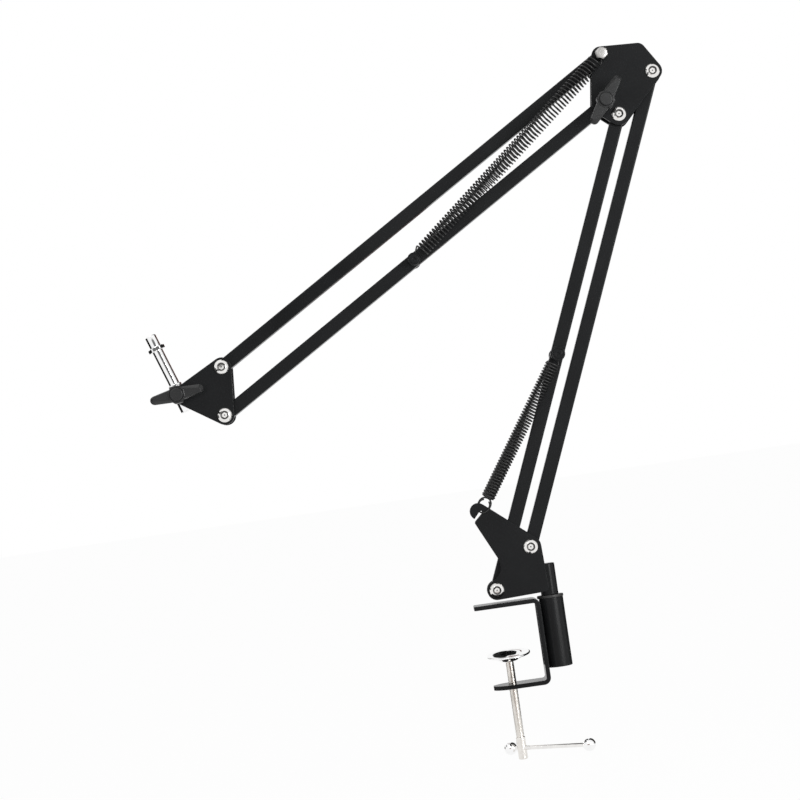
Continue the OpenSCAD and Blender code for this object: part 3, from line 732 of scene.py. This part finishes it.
def knob_shells():
    """A winged knob: its stem, its fluted hub, the cap in the hub and the wings."""
    stem = turned(eased([(9.25, 3.1), (9.25, 5.1), (9.7, 5.4), (17.0, 5.4), (18.6, 6.2), (20.0, 6.2),
                         (20.0, 3.1)], 0.5, True), 96, True)
    flutes = [disc(5.25 * heading(22.5 + 45 * k), 1.45) for k in range(8)]
    levels = [(16.6, 1.0), (17.4, 0.3), (18.4, 0.0), (24.7, 0.0), (25.3, 0.12), (25.75, 0.45), (26.0, 0.9)]
    hub = [[(x, z, h) for x, z in outline(flutes, inset, 5)] for h, inset in levels]
    hub += [circle(5.15, 26.0, 48), circle(4.95, 25.6, 48), circle(4.75, 25.6, 48)]
    cap = turned(eased([(25.2, 0), (25.2, 4.6), (26.9, 4.6), (27.3, 4.1), (27.3, 0)], 0.3))
    return [stem, loft(hub), cap, knob_wings()]


def lock_set(where, body, p, turn):
    """The locking bolt with its head at the back, its washer, and its knob at the front, turned so far."""
    shank = rod(-plate_out, lock_end, bolt_r)
    piece(where + "_lock_screw", [across(shank, p, 0, -1), across(button_head(), p, plate_out, 1)], nickel,
          body, where + "_lock_bolt")
    # The socket walls carry painted shade.
    piece(where + "_lock_screw_socket", [across(shell, p, plate_out, 1) for shell in socket_liner()],
          painted_shade_sockets, body)
    ring = washer(plate_out, 9.2, running_r, flange_r, 0.25, 96)
    piece(where + "_lock_ring", [across(ring, p, 0, -1)], coat, body, where + "_lock_washer")
    piece(where + "_winged_knob", [across(shell, p, 0, -1, turn) for shell in knob_shells()], plastic,
          where + "_knob", where + "_wing_knob")


lock_set("elbow", "elbow", elbow_lock, 53)
lock_set("head", "head", stud_pivot, 7)


# Microphone stud

stud_way = np.array([heading(109)[0], 0, heading(109)[1]])
stud_start = np.array([stud_pivot[0], 0, stud_pivot[1]])
stud_half = 4.5


def flatted(r, h):
    """A ring of the stud's thick end, which has a flat to the front and one to the back."""
    return [(x, max(-stud_half, min(stud_half, y)), h) for x, y, _ in circle(r, h, 128)]


stud_rings = [circle(0, -12, 128)]
stud_rings += [flatted(r, h) for h, r in ((-12, 4.2), (-11.85, 4.6), (-11.5, 4.85), (7.2, 4.85), (7.35, 4.7),
                                          (7.6, 4.7), (7.75, 4.85), (8.6, 4.85), (8.85, 4.7), (9.0, 4.45))]
stud_rings += [circle(r, h, 128) for h, r in ((9.02, 4.0), (9.3, 3.8), (39.0, 3.8), (39.2, 3.95),
                                              (39.4, 4.0), (47.3, 4.0), (47.7, 3.85), (48.0, 3.5),
                                              (48.0, 0))]
piece("stud_rod", [along(loft(stud_rings), stud_start, stud_way)], chrome, "stud", "mic_stud")
collar = [circle(3.8, 36), circle(5.3, 36)]
collar += [hexagon(11, h, reach, math.pi / 6)
           for h, reach in ((36.3, 6.0), (36.5, 6.2), (38.5, 6.2), (38.7, 6.0))]
collar += [circle(5.3, 39), circle(3.8, 39), circle(3.8, 36)]
piece("stud_hexagon", [along(loft(collar, False), stud_start, stud_way)], chrome, "stud",
      "stud_collar")
side_washer = washer(stud_half, 5.95, running_r, 4.6, 0.25)
piece("stud_side_washers", [across(side_washer, stud_pivot, 0, side) for side in (-1, 1)], nylon,
      "stud", "stud_washers")


# Springs

def spring_line(start, end, side, path):
    """Points u along the pull, v across it and w out from the middle plane, set in their place."""
    u = unit(end - start)
    v = np.array([-u[1], u[0]])
    return [np.array([*(start + p[0] * u + side * p[1] * v), side * p[2]])[[0, 2, 1]] for p in path]


def coil(u0, u1, w0, w1, r, turns, steps=16):
    """A coil that starts on one side of the pull and ends on the other, after half a turn more."""
    path = []
    whole = turns * steps + steps // 2
    for i in range(whole + 1):
        k = i / whole
        a = 2 * math.pi * i / steps - math.pi / 2
        path.append((u0 + k * (u1 - u0), r * math.sin(a), w0 + k * (w1 - w0) + r * math.cos(a)))
    return path


def arc(u, w, r, a0, a1, step=15):
    return [(u - r * math.cos(math.radians(a)), r * math.sin(math.radians(a)), w)
            for a in np.linspace(a0, a1, int(abs(a1 - a0) / step) + 1)]


lower_span = np.linalg.norm(lower_pin - hook_slot)
upper_span = np.linalg.norm(upper_pin - elbow_top)

# Where each coil starts and stops along the pull, and how far out its two ends are
lower_start, lower_stop, lower_out = 12.2, lower_span - 7.8, 10.2
upper_start, upper_stop = 6.5, upper_span - 8.3
hook_out, eye_out = 13.6, 11.2
lower_coil = coil(lower_start, lower_stop, lower_out, lower_out, 4.25, 48)
upper_coil = coil(upper_start, upper_stop, hook_out, eye_out, 4.7, 67)
eye_r = 3.3


def end_eye(coil_end, span, w):
    """From the last turn of the coil round the pin, in the plane of the arms."""
    u, v, q = coil_end
    lead = smoothed([coil_end, (u + 0.7, v - 0.3, q - 0.9), ((u + span) / 2, v - 2.3, w - 0.4)])
    return lead[1:] + arc(span, w, eye_r, 65, 315)


def spring(arm, where, start, end, side, path, r, coil_start, coil_stop):
    """One spring of an arm, a single wire that runs over its coil between the pins of two bodies; it is
    baked in place and rides on no body.
    """
    shell = wire(spring_line(start, end, side, path), r)
    obj = piece(arm + "_coil_" + where, [shell], wire_black, None,
                (arm + "_spring_" + where, arm + "_spring_eyes"), crease=60, weighted=False)
    u = unit(end - start)
    a, b = (start + coil_start * u) / 1000, (start + coil_stop * u) / 1000
    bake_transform(obj)


# The lower hook is a loop behind the nose on one side, that comes through the slot to its front on the
# other. The upper one goes round the long bolt.
lower_hook = smoothed([(9.6, -2.0, 5.35), (7.6, -4.0, 5.35), (3.6, -4.1, 5.35), (0.4, -2.2, 5.35),
                       (0, 0, 7.0), (0.6, 2.2, 8.65), (3.8, 4.2, 8.65), (8.4, 4.2, 8.7), (11.0, 2.2, 8.8),
                       (11.6, -1.6, 8.6), lower_coil[0]])
upper_hook = arc(0, hook_out, eye_r, 140, -140)
upper_hook += smoothed([(2.9, -2.9, 13.5), (4.7, -4.7, 12.6), upper_coil[0]])
lower_path = lower_hook[:-1] + lower_coil + end_eye(lower_coil[-1], lower_span, lower_out)
upper_path = upper_hook[:-1] + upper_coil + end_eye(upper_coil[-1], upper_span, eye_out)
for side, where in ((-1, "front"), (1, "back")):
    spring("lower", where, hook_slot, lower_pin, side, lower_path, 0.6, lower_start, lower_stop)
    spring("upper", where, elbow_top, upper_pin, side, upper_path, 0.55, upper_start, upper_stop)


# Studio, in metres

floor_z = -0.1175
even_light = 0.38
floor_white = 0.97
white = (1, 1, 1, 1)


def studio_world():
    """White for the camera, an even light, and a dark side on the right that shows in the metal."""
    world = bpy.data.worlds.new("studio")
    bpy.context.scene.world = world
    f = Finish("studio", world)
    way = f.node("ShaderNodeSeparateXYZ", sockets={0: f.node("ShaderNodeTexCoord", out="Generated")})
    x, y = (Socket(f, way.socket.node.outputs[k]) for k in range(2))
    around = f.node("ShaderNodeMath", {"operation": "ARCTAN2"}, {0: x, 1: y * -1.0})

    def flag(middle, wide, soft):
        """1 within so many degrees of a heading that is counted from the front to the right."""
        off = f.node("ShaderNodeMath", {"operation": "ABSOLUTE"}, {0: around - math.radians(middle)})
        return 1.0 - off.ramp(math.radians(wide - soft), math.radians(wide + soft))

    shine = f.mix(flag(132, 33, 6), white, grey(0.02))
    camera, mirrored = f.rays()
    colour = f.mix(camera, f.mix(mirrored, grey(even_light), shine), white)
    background = f.node("ShaderNodeBackground", sockets={"Color": colour, "Strength": 1.0})
    f.node("ShaderNodeOutputWorld", sockets={"Surface": background})


def stand(name, material, middle, face, up, wide, high):
    """A flat sheet of the studio."""
    face, up = Vector(face).normalized(), Vector(up)
    side = up.cross(face).normalized()
    up = face.cross(side)
    corners = [Vector(middle) + 0.5 * (x * wide * side + y * high * up)
               for x, y in ((-1, -1), (1, -1), (1, 1), (-1, 1))]
    mesh = bpy.data.meshes.new(name)
    mesh.from_pydata([tuple(c) for c in corners], [], [(0, 1, 2, 3)])
    mesh.materials.append(material)
    sheet = bpy.data.objects.new(name, mesh)
    bpy.context.scene.collection.objects.link(sheet)
    return sheet


def studio_floor():
    """A wide white floor just under the screw. The camera sees it white, and it keeps the shadow."""
    f = Finish("white_floor")
    speck = f.noise(40, 3)
    paint = f.node("ShaderNodeBsdfPrincipled", sockets={"Base Color": f.mix(speck, grey(0.84), grey(0.87)),
                                                        "Roughness": 0.9})
    glow = f.node("ShaderNodeEmission", sockets={"Color": white, "Strength": 1.0})
    camera, mirrored = f.rays()
    mixed = f.node("ShaderNodeMixShader", sockets={0: (camera + mirrored) * floor_white, 1: paint, 2: glow})
    f.node("ShaderNodeOutputMaterial", sockets={"Surface": mixed})
    stand("floor", f.owner, (0, 0, floor_z), upward, (0, 1, 0), 80, 80)


def dark_card(name, colour, middle, towards, up, wide, high):
    """A card near the object that shows only as a dark shape in what shines."""
    f = Finish(name)
    flat_colour = f.node("ShaderNodeEmission", sockets={"Color": colour, "Strength": 1.0})
    f.node("ShaderNodeOutputMaterial", sockets={"Surface": flat_colour})
    card = stand(name, f.owner, middle, Vector(towards) - Vector(middle), up, wide, high)
    card.visible_camera = False
    card.visible_diffuse = False
    card.visible_shadow = False
    card.visible_transmission = False


def soft_light(name, place, size, power):
    """A large lamp that points at the middle of the arm."""
    lamp = bpy.data.lights.new(name, "AREA")
    lamp.shape = "RECTANGLE"
    lamp.size, lamp.size_y = size
    lamp.energy = power
    obj = bpy.data.objects.new(name, lamp)
    obj.location = place
    obj.rotation_euler = (Vector((0, 0, 0.15)) - Vector(place)).to_track_quat("-Z", "Y").to_euler()
    bpy.context.scene.collection.objects.link(obj)


def studio_camera():
    """From the front, just below the middle of the arm, and tipped to one side."""
    turn, height, tip = (math.radians(a) for a in (0.5, -2.17, 8.165))
    middle, distance = Vector((-0.05065, 0, 0.1558)), 1.65
    back = Vector((math.sin(turn) * math.cos(height), -math.cos(turn) * math.cos(height), math.sin(height)))
    right = Vector((math.cos(turn), math.sin(turn), 0))
    up = back.cross(right)
    right, up = math.cos(tip) * right - math.sin(tip) * up, math.sin(tip) * right + math.cos(tip) * up
    lens = bpy.data.cameras.new("camera")
    lens.sensor_width = 36
    lens.lens = 104.0
    lens.clip_end = 200
    obj = bpy.data.objects.new("camera", lens)
    obj.matrix_world = (Matrix.Translation(middle + distance * back)
                        @ Matrix((right, up, back)).transposed().to_4x4())
    bpy.context.scene.collection.objects.link(obj)
    bpy.context.scene.camera = obj


studio_world()
studio_floor()
soft_light("right_box", (1.3, -1.5, 0.3), (1.0, 1.1), 34)
soft_light("high_box", (-0.6, -1.6, 1.5), (1.2, 1.0), 9)

# The cards glow in flat colours that only shining rays see: painted reflections, dark and tinted, in the
# stud, the screw, the strip and the cup.
# Each card: its colour, its middle, what it faces, its up, its width and its height
stud_at, screw_at, strip_at = (-0.215, 0, 0.208), (0, 0, -0.075), (0.0195, -0.1, -0.0243)
stud_reflected_brown, screw_reflected_pale, screw_reflected_brown = (0.12, 0.05, 0.04, 1), (0.36, 0.28, 0.25, 1), (0.10, 0.085, 0.075, 1)
for card in (
        ("stud_left_card", grey(0.012), (-0.383, 0.102, 0.170), stud_at, stud_way, 0.36, 0.12),
        ("stud_front_card", grey(0.16), (-0.167, -0.242, 0.2505), stud_at, stud_way, 0.21, 0.05),
        ("stud_right_card", stud_reflected_brown, (-0.1055, 0.2155, 0.2716), stud_at, stud_way, 0.25, 0.12),
        ("screw_right_card", grey(0.03, 0.1), (0.24, 0.18, -0.02), screw_at, upward, 0.32, 0.19),
        ("screw_front_card", screw_reflected_pale, (-0.052, -0.34, -0.066), screw_at, upward, 0.22, 0.09),
        ("screw_left_card", screw_reflected_brown, (-0.21, 0.19, -0.085), screw_at, upward, 0.20, 0.11),
        ("strip_back_card", grey(0.012), (0.0195, 0.019, -0.0243), strip_at, upward, 0.008, 0.0446),
        ("cup_under_card", grey(0.02), (0, -0.032, -0.0525), (0, -0.032, 0), (0, 1, 0), 0.030, 0.036)):
    dark_card(*card)
studio_camera()
bpy.context.scene.view_settings.view_transform = "Standard"
